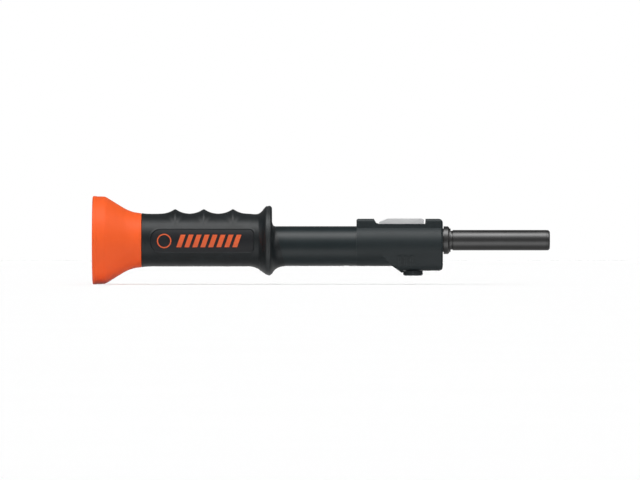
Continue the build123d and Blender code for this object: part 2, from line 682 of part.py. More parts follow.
def make_extractor():
    """The extractor: a sliding bar with a hook behind the cartridge's rim and a slot for its stop pin."""
    x0 = BREECH_X + 0.1
    x1 = GROOVE_X1 - 0.1
    extractor = block(x0, x1, -BAR_HALF_WIDTH, BAR_HALF_WIDTH, GROOVE_FLOOR_Z + RUN, BARREL_R)
    extractor += block(x0, x0 + 1.0, -BAR_HALF_WIDTH, BAR_HALF_WIDTH, 2.7, GROOVE_FLOOR_Z + 1)
    extractor &= bar(x0, x1, BARREL_R - 0.02)
    slot_x1 = STOP_PIN_X + EXTRACTOR_TRAVEL
    extractor -= block(STOP_PIN_X, slot_x1, -STOP_SLOT_R, STOP_SLOT_R, 5, BARREL_R)
    for x in (STOP_PIN_X, slot_x1):
        extractor -= post(5, BARREL_R, STOP_SLOT_R, x=x)
    return extractor


# ---- piston ----
PISTON_X0, PISTON_X1 = -128.0, -114.0
PISTON_TIP_X = -62.0
PISTON_ROD_R = 3.5
PISTON_GROOVE_R = 4.5
PISTON_RING_XS = (-124.5, -118.5)
RING_HALF_WIDTH = 0.7
RING_SPLIT = 0.6


def make_piston():
    """The piston: a grooved head and the rod that drives the nail."""
    piston = bar(PISTON_X0, PISTON_X1, PISTON_BORE_R - RUN)
    piston = chamfer(piston.edges().group_by(Axis.X)[-1], 0.6)
    piston += bar(PISTON_X1 - 1, PISTON_TIP_X, PISTON_ROD_R)
    for x in PISTON_RING_XS:
        half = RING_HALF_WIDTH + RUN
        piston -= ring(x - half, x + half, PISTON_BORE_R + 1, PISTON_GROOVE_R)
    return piston


def make_piston_rings():
    """Two split rings in the head's grooves."""
    rings = []
    for x in PISTON_RING_XS:
        band = ring(x - RING_HALF_WIDTH, x + RING_HALF_WIDTH, PISTON_BORE_R - SNUG, PISTON_GROOVE_R + RUN)
        band -= block(x - 1, x + 1, -RING_SPLIT / 2, RING_SPLIT / 2, 0, PISTON_BORE_R + 1)
        rings.append(band)
    return Compound([s for band in rings for s in band.solids()])


nodes = {
    "strike_guard": make_strike_guard(),
    "guard_screws": make_guard_screws(),
    "grip_sleeve": make_grip_sleeve(),
    "badge_left": make_badge(-1),
    "badge_right": make_badge(1),
    "badge_marks_left": make_marks(-1),
    "badge_marks_right": make_marks(1),
    "handle_tube": make_handle_tube(),
    "handle_pins": make_handle_pins(),
    "rear_bush": make_bush(HANDLE_REAR_X, REAR_BUSH_X1),
    "stop_bush": make_bush(STOP_BUSH_X0, STOP_BUSH_X1),
    "spring_washer": make_spring_washer(),
    "striker_spring": make_striker_spring(),
    "strike_cap": make_strike_cap(),
    "striker_rod": make_striker_rod(),
    "striker_collar": make_striker_collar(),
    "collar_pin": make_collar_pin(),
    "firing_pin": make_firing_pin(),
    "firing_pin_screw": make_pin_screw(),
    "receiver": make_receiver(),
    "breech_block": make_breech_block(),
    "breech_screw": make_breech_screw(),
    "nose_bush": make_nose_bush(),
    "drag_ring": make_drag_ring(),
    "port_shield": make_port_shield(),
    "shield_screws": make_shield_screws(),
    "stop_plunger": make_stop_plunger(),
    "plunger_knob": make_plunger_knob(),
    "plunger_sleeve": make_plunger_sleeve(),
    "plunger_spring": make_plunger_spring(),
    "barrel": make_barrel(),
    "muzzle_tube": make_muzzle_tube(),
    "piston_buffer": make_piston_buffer(),
    "extractor": make_extractor(),
    "extractor_pin": make_extractor_pin(),
    "piston": make_piston(),
    "piston_rings": make_piston_rings(),
}

os.makedirs("parts", exist_ok=True)
for name, shape in nodes.items():
    export_step(shape, f"parts/{name}.step")
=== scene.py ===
import json
import math
import bmesh
import bpy
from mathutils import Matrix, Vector, noise


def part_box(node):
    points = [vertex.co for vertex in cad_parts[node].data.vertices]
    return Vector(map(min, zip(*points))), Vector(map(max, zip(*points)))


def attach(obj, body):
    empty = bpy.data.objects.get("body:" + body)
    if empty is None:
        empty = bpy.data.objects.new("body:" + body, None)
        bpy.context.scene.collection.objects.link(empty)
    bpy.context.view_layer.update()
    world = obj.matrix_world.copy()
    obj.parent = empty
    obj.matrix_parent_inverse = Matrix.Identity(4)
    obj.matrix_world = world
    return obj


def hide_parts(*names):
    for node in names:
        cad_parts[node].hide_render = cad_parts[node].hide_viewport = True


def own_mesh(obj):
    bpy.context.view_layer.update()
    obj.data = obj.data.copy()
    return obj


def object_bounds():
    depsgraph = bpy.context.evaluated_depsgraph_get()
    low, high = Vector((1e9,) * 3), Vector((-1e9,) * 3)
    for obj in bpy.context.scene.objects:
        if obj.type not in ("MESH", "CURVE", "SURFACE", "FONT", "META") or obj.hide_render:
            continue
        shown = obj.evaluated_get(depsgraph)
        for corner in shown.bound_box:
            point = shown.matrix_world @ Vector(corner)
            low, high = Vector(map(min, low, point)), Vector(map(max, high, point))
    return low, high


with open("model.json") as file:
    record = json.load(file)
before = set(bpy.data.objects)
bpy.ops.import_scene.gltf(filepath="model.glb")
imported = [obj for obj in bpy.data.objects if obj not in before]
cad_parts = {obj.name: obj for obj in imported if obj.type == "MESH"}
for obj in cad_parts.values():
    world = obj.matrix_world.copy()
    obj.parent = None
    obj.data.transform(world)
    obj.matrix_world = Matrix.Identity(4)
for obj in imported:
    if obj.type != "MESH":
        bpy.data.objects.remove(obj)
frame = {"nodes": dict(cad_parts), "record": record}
cad_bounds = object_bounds()

MM = 0.001
AROUND = 192


# ---------------------------------------------------------------- mesh helpers

def box_mm(node):
    """A CAD node's lowest and highest corners in millimetres."""
    return [Vector(corner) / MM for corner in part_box(node)]


def new_piece(name, mesh_builder, body, material, replaced=()):
    """Makes an object from a bmesh, rides it on a body and gives it a material."""
    mesh = bpy.data.meshes.new(name)
    bm = bmesh.new()
    mesh_builder(bm)
    bmesh.ops.recalc_face_normals(bm, faces=bm.faces)
    bm.to_mesh(mesh)
    bm.free()
    piece = bpy.data.objects.new(name, mesh)
    bpy.context.scene.collection.objects.link(piece)
    for face in mesh.polygons:
        face.use_smooth = True
    mesh.materials.append(material)
    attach(piece, body)
    if replaced:
        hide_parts(*replaced)
    return piece


def arc(cx, cr, radius, start, end, steps):
    """Points (x, r) on an arc, angles in degrees from +x towards +r."""
    spots = []
    for i in range(steps + 1):
        a = math.radians(start + (end - start) * i / steps)
        spots.append((cx + radius * math.cos(a), cr + radius * math.sin(a)))
    return spots


def rounded(corners, steps):
    """A closed (x, r) outline from its corners, each given as (point, corner radius)."""
    out = []
    points = [Vector(point) for point, _ in corners]
    for i, (_, radius) in enumerate(corners):
        here = points[i]
        back = (points[i - 1] - here).normalized()
        ahead = (points[(i + 1) % len(points)] - here).normalized()
        turn = back.angle(ahead)
        reach = radius / math.tan(turn / 2)
        centre = here + (back + ahead).normalized() * (radius / math.sin(turn / 2))
        first = here + back * reach - centre
        last = here + ahead * reach - centre
        sweep = math.atan2(first.x * last.y - first.y * last.x, first.dot(last))
        for k in range(steps + 1):
            a = sweep * k / steps
            spot = centre + Vector((first.x * math.cos(a) - first.y * math.sin(a),
                                    first.x * math.sin(a) + first.y * math.cos(a)))
            out.append(tuple(spot))
    return out


def lathe(outline, around=AROUND, z=0.0, wobble=None):
    """A builder that turns a closed (x, r) outline in millimetres about the bore axis."""
    def build(bm):
        loops = []
        for k in range(around):
            a = 2 * math.pi * k / around
            loop = []
            for x, r in outline:
                if wobble:
                    x, r = wobble(x, r, a)
                loop.append(bm.verts.new((x * MM, r * math.sin(a) * MM, (z + r * math.cos(a)) * MM)))
            loops.append(loop)
        join_rows(bm, loops + loops[:1])
    return build


def join_rows(bm, rows):
    """Faces between each row of vertices, which closes on itself, and the next."""
    for one, two in zip(rows, rows[1:]):
        for k in range(len(one)):
            j = (k + 1) % len(one)
            bm.faces.new((one[k], one[j], two[j], two[k]))


def keep_edges_crisp(piece, degrees):
    """Smooth shading that stays sharp at real edges."""
    mesh = piece.data
    bm = bmesh.new()
    bm.from_mesh(mesh)
    for edge in bm.edges:
        if len(edge.link_faces) == 2 and edge.calc_face_angle(0) > math.radians(degrees):
            edge.smooth = False
    bm.to_mesh(mesh)
    bm.free()


# ---------------------------------------------------------------- materials

EDGE_SAMPLES = 6
EDGE_STOPS = [(0.90, 1.0), (0.99, 0.0)]


class Shader:
    """A node material built line by line around one Principled BSDF."""

    def __init__(self, name, roughness, metallic=0.0, **sockets):
        self.material = bpy.data.materials.new(name)
        self.material.use_nodes = True
        self.tree = self.material.node_tree
        self.bsdf = self.tree.nodes["Principled BSDF"]
        self.bsdf.inputs["Roughness"].default_value = roughness
        self.bsdf.inputs["Metallic"].default_value = metallic
        for socket, value in sockets.items():
            self.bsdf.inputs[socket.replace("_", " ")].default_value = value
        self.place = self.tree.nodes.new("ShaderNodeTexCoord").outputs["Object"]
        self.bump = None

    def node(self, kind, **settings):
        made = self.tree.nodes.new(kind)
        for key, value in settings.items():
            setattr(made, key, value)
        return made

    def link(self, source, target):
        self.tree.links.new(source, target)

    def stretched(self, scale):
        """Object coordinates, in metres, scaled along each axis."""
        mapping = self.node("ShaderNodeMapping")
        mapping.inputs["Scale"].default_value = scale
        self.link(self.place, mapping.inputs["Vector"])
        return mapping.outputs["Vector"]

    def noise(self, per_metre, detail, rough, stretch=(1, 1, 1), distortion=0.0):
        made = self.node("ShaderNodeTexNoise")
        made.inputs["Scale"].default_value = per_metre
        made.inputs["Detail"].default_value = detail
        made.inputs["Roughness"].default_value = rough
        made.inputs["Distortion"].default_value = distortion
        self.link(self.stretched(stretch), made.inputs["Vector"])
        return made.outputs["Fac"]

    def cells(self, per_metre):
        made = self.node("ShaderNodeTexVoronoi", feature="F1")
        made.inputs["Scale"].default_value = per_metre
        self.link(self.place, made.inputs["Vector"])
        return made.outputs["Distance"]

    def ramp(self, source, stops):
        """Turns a value into a grey by (position, level) stops."""
        made = self.node("ShaderNodeValToRGB")
        elements = made.color_ramp.elements
        while len(elements) < len(stops):
            elements.new(0.5)
        for element, (spot, value) in zip(elements, stops):
            element.position = spot
            element.color = (value, value, value, 1.0)
        self.link(source, made.inputs["Fac"])
        return made.outputs["Color"]

    def mix(self, factor, one, two):
        """Mixes two colours; each is a socket or a plain colour."""
        made = self.node("ShaderNodeMix", data_type="RGBA")
        for value, socket in ((factor, made.inputs[0]), (one, made.inputs[6]), (two, made.inputs[7])):
            if isinstance(value, bpy.types.NodeSocket):
                self.link(value, socket)
            elif isinstance(value, tuple):
                socket.default_value = (*value, 1.0)
            else:
                socket.default_value = value
        return made.outputs[2]

    def combine(self, operation, one, two):
        """Does sums on two numbers; each is a socket or a plain number."""
        made = self.node("ShaderNodeMath", operation=operation)
        for value, socket in ((one, made.inputs[0]), (two, made.inputs[1])):
            if isinstance(value, bpy.types.NodeSocket):
                self.link(value, socket)
            else:
                socket.default_value = value
        return made.outputs[0]

    def multiply(self, one, two):
        return self.combine("MULTIPLY", one, two)

    def x(self):
        """Metres along the bore."""
        split = self.node("ShaderNodeSeparateXYZ")
        self.link(self.place, split.inputs[0])
        return split.outputs["X"]

    def along_x(self, x0, x1):
        """0 at x0 to 1 at x1, in metres along the bore."""
        spread = self.node("ShaderNodeMapRange")
        spread.inputs["From Min"].default_value = x0
        spread.inputs["From Max"].default_value = x1
        self.link(self.x(), spread.inputs["Value"])
        return spread.outputs["Result"]

    def beyond_x(self, x):
        """1 ahead of x, in metres along the bore, and 0 behind it."""
        return self.combine("GREATER_THAN", self.x(), x)

    def edges(self, radius):
        """1 where the surface turns within the radius, 0 on flats and gentle curves."""
        soft = self.node("ShaderNodeBevel", samples=EDGE_SAMPLES)
        soft.inputs["Radius"].default_value = radius
        match = self.node("ShaderNodeVectorMath", operation="DOT_PRODUCT")
        self.link(soft.outputs["Normal"], match.inputs[0])
        self.link(self.node("ShaderNodeNewGeometry").outputs["Normal"], match.inputs[1])
        return self.ramp(match.outputs["Value"], EDGE_STOPS)

    def colour(self, source):
        self.link(source, self.bsdf.inputs["Base Color"])

    def roughness(self, source, low, high):
        spread = self.node("ShaderNodeMapRange")
        spread.inputs["To Min"].default_value = low
        spread.inputs["To Max"].default_value = high
        spread.clamp = False
        self.link(source, spread.inputs["Value"])
        self.link(spread.outputs["Result"], self.bsdf.inputs["Roughness"])

    def relief(self, height, strength, depth):
        """Adds a layer of bump: depth in metres."""
        made = self.node("ShaderNodeBump")
        made.inputs["Strength"].default_value = strength
        made.inputs["Distance"].default_value = depth
        self.link(height, made.inputs["Height"])
        if self.bump:
            self.link(self.bump, made.inputs["Normal"])
        self.bump = made.outputs["Normal"]
        self.link(self.bump, self.bsdf.inputs["Normal"])


def guard_orange():
    """Moulded orange plastic: fine grain, slight flow mottling, scuffs and dust."""
    s = Shader("guard_orange", 0.46, IOR=1.48, Specular_IOR_Level=0.28)
    mottle = s.noise(28, 5, 0.6, stretch=(1, 0.6, 0.6))
    base = s.mix(mottle, (0.88, 0.102, 0.014), (0.94, 0.125, 0.021))
    scuff = s.ramp(s.noise(160, 7, 0.72, stretch=(0.35, 1, 1), distortion=0.6), [(0.60, 0.0), (0.72, 1.0)])
    worn = s.mix(s.multiply(scuff, 0.18), base, (0.88, 0.21, 0.10))
    s.colour(s.mix(s.multiply(s.edges(0.0008), 0.3), worn, (0.90, 0.20, 0.09)))
    s.roughness(s.noise(90, 6, 0.65), 0.40, 0.58)
    s.relief(s.noise(2600, 3, 0.5), 0.35, 0.00008)
    s.relief(s.noise(60, 3, 0.5), 0.12, 0.0006)
    return s.material


def grip_rubber():
    """Soft moulded rubber: pebbled skin, bloom on the high spots, paler worn edges, and a painted highlight
    as a paler band round the flange's rim.
    """
    s = Shader("grip_rubber", 0.5, IOR=1.5, Specular_IOR_Level=0.42)
    bloom = s.ramp(s.noise(70, 6, 0.68), [(0.35, 0.0), (0.75, 1.0)])
    base = s.mix(bloom, (0.006, 0.0085, 0.0095), (0.012, 0.0165, 0.0190))
    worn = s.mix(s.multiply(s.edges(0.0007), 0.35), base, (0.040, 0.045, 0.047))
    # Painted highlight: this paler band round the flange's rim stands in for the highlight line along the
    # rim.
    rim = s.ramp(s.along_x(-0.2190, -0.2130), [(0.22, 0.0), (0.44, 1.0), (0.70, 1.0), (0.84, 0.0)])
    s.colour(s.mix(s.multiply(rim, 0.6), worn, (0.045, 0.050, 0.051)))
    s.roughness(s.noise(110, 5, 0.6), 0.29, 0.45)
    s.relief(s.cells(1500), 0.30, 0.00010)
    s.relief(s.noise(240, 5, 0.6), 0.20, 0.0004)
    return s.material


def badge_black():
    """The insert: smoother, finer plastic than the rubber round it."""
    s = Shader("badge_black", 0.42, IOR=1.47, Specular_IOR_Level=0.4)
    s.colour(s.mix(s.noise(140, 5, 0.6), (0.007, 0.008, 0.010), (0.014, 0.015, 0.018)))
    s.roughness(s.noise(300, 5, 0.6), 0.36, 0.52)
    s.relief(s.noise(3400, 2, 0.5), 0.25, 0.00005)
    return s.material


def badge_orange():
    """Raised pad-printed orange, rubbed thin in places."""
    s = Shader("badge_orange", 0.5, IOR=1.45)
    rubbed = s.ramp(s.noise(420, 6, 0.7), [(0.60, 0.0), (0.78, 1.0)])
    ink = s.mix(s.noise(90, 4, 0.6), (0.66, 0.090, 0.020), (0.76, 0.130, 0.034))
    s.colour(s.mix(s.multiply(rubbed, 0.5), ink, (0.25, 0.05, 0.02)))
    s.roughness(s.noise(260, 4, 0.6), 0.42, 0.58)
    s.relief(s.noise(1800, 3, 0.5), 0.2, 0.00004)
    return s.material


def body_black(name, low, high, dull_from=0.0, dull=0.0):
    """Baked black coating on cast and turned steel: faint orange peel, bright metal at worn edges.

    Ahead of dull_from, in metres along the bore, the casting is rougher by dull."""
    s = Shader(name, 0.32, IOR=1.5, Specular_IOR_Level=0.5)
    base = s.mix(s.noise(45, 6, 0.62), (0.0050, 0.0115, 0.0140), (0.0095, 0.0175, 0.0200))
    scratch = s.ramp(s.noise(520, 8, 0.8, stretch=(0.06, 1, 1)), [(0.64, 0.0), (0.70, 1.0)])
    lined = s.mix(s.multiply(scratch, 0.2), base, (0.055, 0.06, 0.062))
    chipped = s.ramp(s.noise(900, 6, 0.75), [(0.45, 0.0), (0.60, 1.0)])
    wear = s.multiply(s.edges(0.0005), chipped)
    s.colour(s.mix(s.multiply(wear, 0.45), lined, (0.13, 0.135, 0.14)))
    rough = s.noise(150, 6, 0.65)
    if dull:
        rough = s.combine("ADD", rough, s.multiply(s.beyond_x(dull_from), dull / (high - low)))
    s.roughness(rough, low, high)
    s.relief(s.noise(900, 3, 0.5), 0.12, 0.00006)
    return s.material


def turned_steel(name, dark, light, low, high, ring_scale):
    """Lathe-turned steel: fine rings across the bore axis, oil stains and a few handling marks.

    The colour goes from dark to light with the stains, and the roughness from low to high."""
    s = Shader(name, 0.3, metallic=1.0, Anisotropic=0.35)
    rings = s.noise(1.0, 4, 0.7, stretch=(ring_scale, 6, 6))
    stain = s.noise(60, 6, 0.65)
    base = s.mix(stain, dark, light)
    s.colour(s.mix(s.multiply(rings, 0.35), base, tuple(1.5 * c for c in light)))
    s.roughness(s.mix(0.5, rings, s.noise(180, 6, 0.7)), low, high)
    s.relief(rings, 0.22, 0.00004)
    s.relief(s.noise(240, 6, 0.7), 0.10, 0.00010)
    return s.material


def shield_steel():
    """Bright zinc-plated sheet: satin, with a long grain along the tool."""
    s = Shader("shield_steel", 0.4)
    grain = s.noise(1.0, 5, 0.7, stretch=(60, 4200, 4200))
    s.colour(s.mix(grain, (0.90, 0.91, 0.92), (0.97, 0.97, 0.97)))
    s.roughness(grain, 0.30, 0.50)
    s.relief(grain, 0.2, 0.00003)
    return s.material


def bronze():
    """Oiled sintered bronze: tiny pores and brown stains."""
    s = Shader("bronze", 0.4, metallic=1.0)
    s.colour(s.mix(s.noise(120, 6, 0.7), (0.33, 0.20, 0.09), (0.62, 0.43, 0.22)))
    s.roughness(s.noise(300, 5, 0.6), 0.30, 0.5)
    s.relief(s.cells(3500), 0.25, 0.00005)
    return s.material


def buffer_urethane():
    """Cast orange-brown urethane."""
    s = Shader("buffer_urethane", 0.45)
    s.colour(s.mix(s.noise(200, 5, 0.6), (0.60, 0.20, 0.07), (0.74, 0.30, 0.12)))
    s.roughness(s.noise(300, 5, 0.6), 0.38, 0.55)
    s.relief(s.noise(1500, 3, 0.5), 0.2, 0.00005)
    return s.material


STEELS = {
    "barrel_steel": ((0.088, 0.088, 0.088), (0.125, 0.125, 0.125), 0.30, 0.38, 2200.0),
    "bright_steel": ((0.42, 0.42, 0.43), (0.58, 0.58, 0.59), 0.20, 0.36, 2200.0),
    "strike_steel": ((0.34, 0.34, 0.35), (0.50, 0.50, 0.51), 0.26, 0.44, 1500.0),
    "spring_steel": ((0.20, 0.20, 0.21), (0.32, 0.32, 0.33), 0.28, 0.42, 900.0)}

MATERIALS = {name: turned_steel(name, *finish) for name, finish in STEELS.items()}
MATERIALS.update({
    "guard_orange": guard_orange(),
    "grip_rubber": grip_rubber(),
    "badge_black": badge_black(),
    "badge_orange": badge_orange(),
    "body_black": body_black("body_black", 0.27, 0.38, dull_from=-0.148, dull=0.16),
    "screw_black": body_black("screw_black", 0.34, 0.50),
    "knob_black": body_black("knob_black", 0.32, 0.46),
    "shield_steel": shield_steel(),
    "bronze": bronze(),
    "buffer_urethane": buffer_urethane()})


# The width in millimetres of the small bevel on each CAD node's edges.
BEVELS = {"receiver": 0.35, "barrel": 0.2, "port_shield": 0.15, "badge_left": 0.15, "badge_right": 0.15,
          "extractor": 0.1, "guard_screws": 0.15, "breech_screw": 0.15, "stop_plunger": 0.1,
          "plunger_sleeve": 0.15, "shield_screws": 0.1, "breech_block": 0.15}
BEVEL_SEGMENTS = 3
BEVEL_ANGLE = math.radians(40)


def dress_cad_nodes():
    """Gives every CAD node its slot's material, and a small bevel where one is named."""
    slots = {part["node"]: part["material_slot"] for part in frame["record"]["subparts"]}
    for name, node in frame["nodes"].items():
        node.data.materials.clear()
        node.data.materials.append(MATERIALS[slots[name]])
        if name in BEVELS:
            bevel = node.modifiers.new("edges", "BEVEL")
            bevel.width = BEVELS[name] * MM
            bevel.segments = BEVEL_SEGMENTS
            bevel.limit_method = "ANGLE"
            bevel.angle_limit = BEVEL_ANGLE
            bevel.harden_normals = True


# ---------------------------------------------------------------- strike guard

GUARD_LOW, GUARD_HIGH = box_mm("strike_guard")
RIM_X, RIM_R = GUARD_LOW.x, GUARD_HIGH.z
HUB_X, HUB_R = GUARD_HIGH.x, 20.6
BEAD_LENGTH = 2.6
FLARE_START = (9.6, 0.35)
NECK = (26.0, 23.4)
NECK_END = (31.5, 21.5)
SEAT_R = 13.6
FLOOR_DEPTH, FLOOR_R = 24.0, 18.6
MOUTH_R = 30.8
LINE_FROM_R = 20.0
LINE_HALF_WIDTH = 0.45
LINE_RISE = 0.10


def guard_outline():
    """The flared cup: a beaded rim, a long flare into the hub, and the hollow that the hammer enters."""
    outer = [
        ((RIM_X, RIM_R), 0.9),
        ((RIM_X + BEAD_LENGTH, RIM_R), 0.5),
        ((RIM_X + BEAD_LENGTH + 0.8, RIM_R - 0.25), 0.8),
        ((RIM_X + FLARE_START[0], RIM_R - FLARE_START[1]), 5.0),
        ((RIM_X + NECK[0], NECK[1]), 30.0),
        ((RIM_X + NECK_END[0], NECK_END[1]), 12.0),
        ((HUB_X, HUB_R), 0.5)]
    inner = [
        ((HUB_X, SEAT_R), 0.3),
        ((RIM_X + FLOOR_DEPTH, SEAT_R), 0.3),
        ((RIM_X + FLOOR_DEPTH, FLOOR_R), 2.5),
        ((RIM_X + 10, MOUTH_R - 1.2), 4.0),
        ((RIM_X, MOUTH_R), 0.9)]
    return rounded(outer + inner, steps=10)


def mould_line(x, r, a):
    """A faint parting line along both sides of the moulding."""
    across = abs(math.cos(a)) * r
    if r > LINE_FROM_R and across < LINE_HALF_WIDTH:
        r += LINE_RISE * (1 - across / LINE_HALF_WIDTH)
    return x, r


def build_guard():
    guard = new_piece("guard_cup", lathe(guard_outline(), around=256, wobble=mould_line),
                      "receiver", MATERIALS["guard_orange"], ["strike_guard"])
    keep_edges_crisp(guard, 40)


# ---------------------------------------------------------------- grip

GRIP_REAR_X = box_mm("grip_sleeve")[0].x
GRIP_FRONT_X = GRIP_REAR_X + 99.8
SLEEVE_R = 20.1
REAR_FLARE = 0.7
REAR_FLARE_FADE = 2.5
SLEEVE_STEPS = 200
FLANGE_STEPS = 68
FLANGE_LENGTH = 17.0

# Each ridge is part of a circle about a line RIDGE_RISE above the bore, so it fades out down the sides.
RIDGES = (-286.8, -264.9, -242.6)
RIDGE_RISE = 7.0
RIDGE_CREST = 16.75
RIDGE_DROP = 4.1
RIDGE_SPREAD = 5.0
RIDGE_TIP = 0.8
RIDGE_BLEND = 0.8
RIDGES_END = (-14.0, -9.0)

RECESS = (-305.5, -226.5, -9.4, 8.2)
RECESS_CORNER_REAR, RECESS_CORNER_FRONT = 7.6, 3.4
RECESS_DEPTH = 1.1
RECESS_WALL = (-0.1, 0.55)
RECESS_LIP, RECESS_LIP_AT, RECESS_LIP_WIDTH = 0.22, 0.5, 0.45
SIDES_FROM_Y = 8.0
SIDES_END = -11.0

# The hand-stop flange, as (place along from its front face, radius), above and below.
FLARE_TOP = ((-17.0, 20.1), (-13.6, 19.7), (-10.7, 20.05), (-9.2, 20.8), (-7.6, 22.2), (-6.1, 24.1),
             (-4.8, 25.5), (-3.9, 25.95), (-3.3, 25.75), (-2.8, 25.95), (-2.2, 26.2), (-1.5, 26.1),
             (-0.7, 25.6), (0.0, 24.6))
FLARE_LOW = ((-17.0, 20.1), (-13.6, 20.7), (-10.7, 22.0), (-9.2, 22.9), (-7.6, 24.0), (-6.1, 25.1),
             (-4.8, 26.05), (-3.9, 26.5), (-3.3, 26.5), (-2.8, 26.75), (-2.2, 26.9), (-1.5, 26.7),
             (-0.7, 26.05), (0.0, 25.2))
# How far below level, as a share of the radius, the upper shape starts and ends giving way to the lower one.
FLARE_TURN = (0.1, 0.95)


def smooth_max(a, b, soft):
    h = max(soft - abs(a - b), 0.0) / soft
    return max(a, b) + h * h * soft * 0.25


def smooth_step(low, high, value):
    t = min(1.0, max(0.0, (value - low) / (high - low)))
    return t * t * (3 - 2 * t)


def through(spots, x):
    """A smooth curve through (x, value) spots."""
    if x <= spots[0][0]:
        return spots[0][1]
    for k in range(len(spots) - 1):
        (xa, a), (xb, b) = spots[k], spots[k + 1]
        if x <= xb:
            before = spots[k - 1] if k else (2 * xa - xb, a)
            after = spots[k + 2] if k + 2 < len(spots) else (2 * xb - xa, b)
            rise_a = (b - before[1]) / (xb - before[0])
            rise_b = (after[1] - a) / (after[0] - xa)
            t = (x - xa) / (xb - xa)
            span = xb - xa
            return ((2 * t**3 - 3 * t**2 + 1) * a + (t**3 - 2 * t**2 + t) * span * rise_a
                    + (3 * t**2 - 2 * t**3) * b + (t**3 - t**2) * span * rise_b)
    return spots[-1][1]


def ridge_height(x):
    """The radius of the finger ridges' crescents at x: narrow crests with long scooped flanks."""
    best = 0.0
    for crest in RIDGES:
        off = math.hypot(x - crest, RIDGE_TIP) - RIDGE_TIP
        best = max(best, RIDGE_CREST - RIDGE_DROP * (1 - math.exp(-off / RIDGE_SPREAD)))
    return best


def recess_distance(x, z):
    """Distance inside the recess's rounded outline; negative outside."""
    x0, x1, z0, z1 = RECESS
    corner = RECESS_CORNER_REAR if x < (x0 + x1) / 2 else RECESS_CORNER_FRONT
    half_x, half_z = (x1 - x0) / 2 - corner, (z1 - z0) / 2 - corner
    dx = abs(x - (x0 + x1) / 2) - half_x
    dz = abs(z - (z0 + z1) / 2) - half_z
    outside = math.hypot(max(dx, 0.0), max(dz, 0.0)) + min(max(dx, dz), 0.0)
    return corner - outside


def shape_grip(x, r, a):
    """Adds the ridges, the side recesses and the flange to the turned sleeve."""
    if r < SLEEVE_R - 1:
        return x, r
    up = math.cos(a)
    low = smooth_step(*FLARE_TURN, -up)
    back = x - GRIP_FRONT_X
    flare = through(FLARE_TOP, back) * (1 - low) + through(FLARE_LOW, back) * low
    crescent = ridge_height(x)
    rise = RIDGE_RISE * up + math.sqrt(max(crescent ** 2 - (RIDGE_RISE * math.sin(a)) ** 2, 0.0))
    on_sleeve = 1 - smooth_step(*RIDGES_END, back)
    rise = flare + (rise - flare) * on_sleeve
    height = smooth_max(flare, rise, RIDGE_BLEND)
    height += REAR_FLARE * math.exp((GRIP_REAR_X - x) / REAR_FLARE_FADE)
    tuck = SLEEVE_R - r
    inside = recess_distance(x, height * up)
    if abs(height * math.sin(a)) > SIDES_FROM_Y and back < SIDES_END:
        height -= RECESS_DEPTH * smooth_step(*RECESS_WALL, inside)
        height += RECESS_LIP * math.exp(-((inside + RECESS_LIP_AT) / RECESS_LIP_WIDTH) ** 2)
    return x, height - tuck


def grip_outline():
    """The sleeve's turned outline, close-set along the hand so that ridges, recess and flange are smooth."""
    rear, start, foot = GRIP_REAR_X, GRIP_REAR_X + 0.6, GRIP_FRONT_X - FLANGE_LENGTH
    points = [(rear, SEAT_R), (rear, SLEEVE_R - 0.6), (rear + 0.2, SLEEVE_R - 0.2), (start, SLEEVE_R)]
    for i in range(1, SLEEVE_STEPS):
        points.append((start + (foot - start) * i / SLEEVE_STEPS, SLEEVE_R))
    for i in range(FLANGE_STEPS + 1):
        points.append((foot + FLANGE_LENGTH * i / FLANGE_STEPS, SLEEVE_R))
    points += [(GRIP_FRONT_X, SLEEVE_R - 1.2), (GRIP_FRONT_X - 0.2, SEAT_R)]
    return points


TUBE_R = 15.25
TUBE_Z = -4.55
COVE_PROUD = 0.05
COVE_SINK = 0.6
COVE_OVERLAP = 0.6
COVE_STEPS = 30
# The cove's length and height at the top of the tube and at the bottom, and how soon it falls away.
COVE_TOP = (2.2, 4.0)
COVE_LOW = (10.4, 6.4)
COVE_FADE = 0.31


def cove_outline():
    """The cove's turned outline: its length here stands for the whole run from the flange to its thin end."""
    rear, reach = GRIP_FRONT_X - COVE_OVERLAP, COVE_LOW[0]
    skin = [(GRIP_FRONT_X + reach * i / COVE_STEPS, TUBE_R + COVE_PROUD) for i in range(COVE_STEPS + 1)]
    under = [(GRIP_FRONT_X + reach, TUBE_R - COVE_SINK), (rear, TUBE_R - COVE_SINK)]
    return [(rear, TUBE_R + COVE_PROUD)] + skin + under


def shape_cove(x, r, a):
    """Short and low above the tube, long and deep below it."""
    low = (1 - math.cos(a)) / 2
    length = COVE_TOP[0] + (COVE_LOW[0] - COVE_TOP[0]) * low
    rise = COVE_TOP[1] + (COVE_LOW[1] - COVE_TOP[1]) * low
    along = max(0.0, (x - GRIP_FRONT_X) / COVE_LOW[0])
    if r > TUBE_R:
        r += rise * (math.exp(-along / COVE_FADE) - math.exp(-1 / COVE_FADE))
    if x > GRIP_FRONT_X:
        x = GRIP_FRONT_X + along * length
    return x, r


def build_grip():
    grip = new_piece("grip_rubber", lathe(grip_outline(), around=352, wobble=shape_grip),
                     "receiver", MATERIALS["grip_rubber"], ["grip_sleeve"])
    keep_edges_crisp(grip, 50)
    new_piece("grip_cove", lathe(cove_outline(), around=128, z=TUBE_Z, wobble=shape_cove),
              "receiver", MATERIALS["grip_rubber"])


# ---------------------------------------------------------------- muzzle, cap and knob

NOSE_R = 7.8
NOSE_CROWN_R = 2.0
NOSE_RING_DEPTH = 0.12
UNDERCUT_R = 7.25
MUZZLE_BORE_R = 4.05
MUZZLE_BORE_END_X = -44.0
LINER_R = 5.1


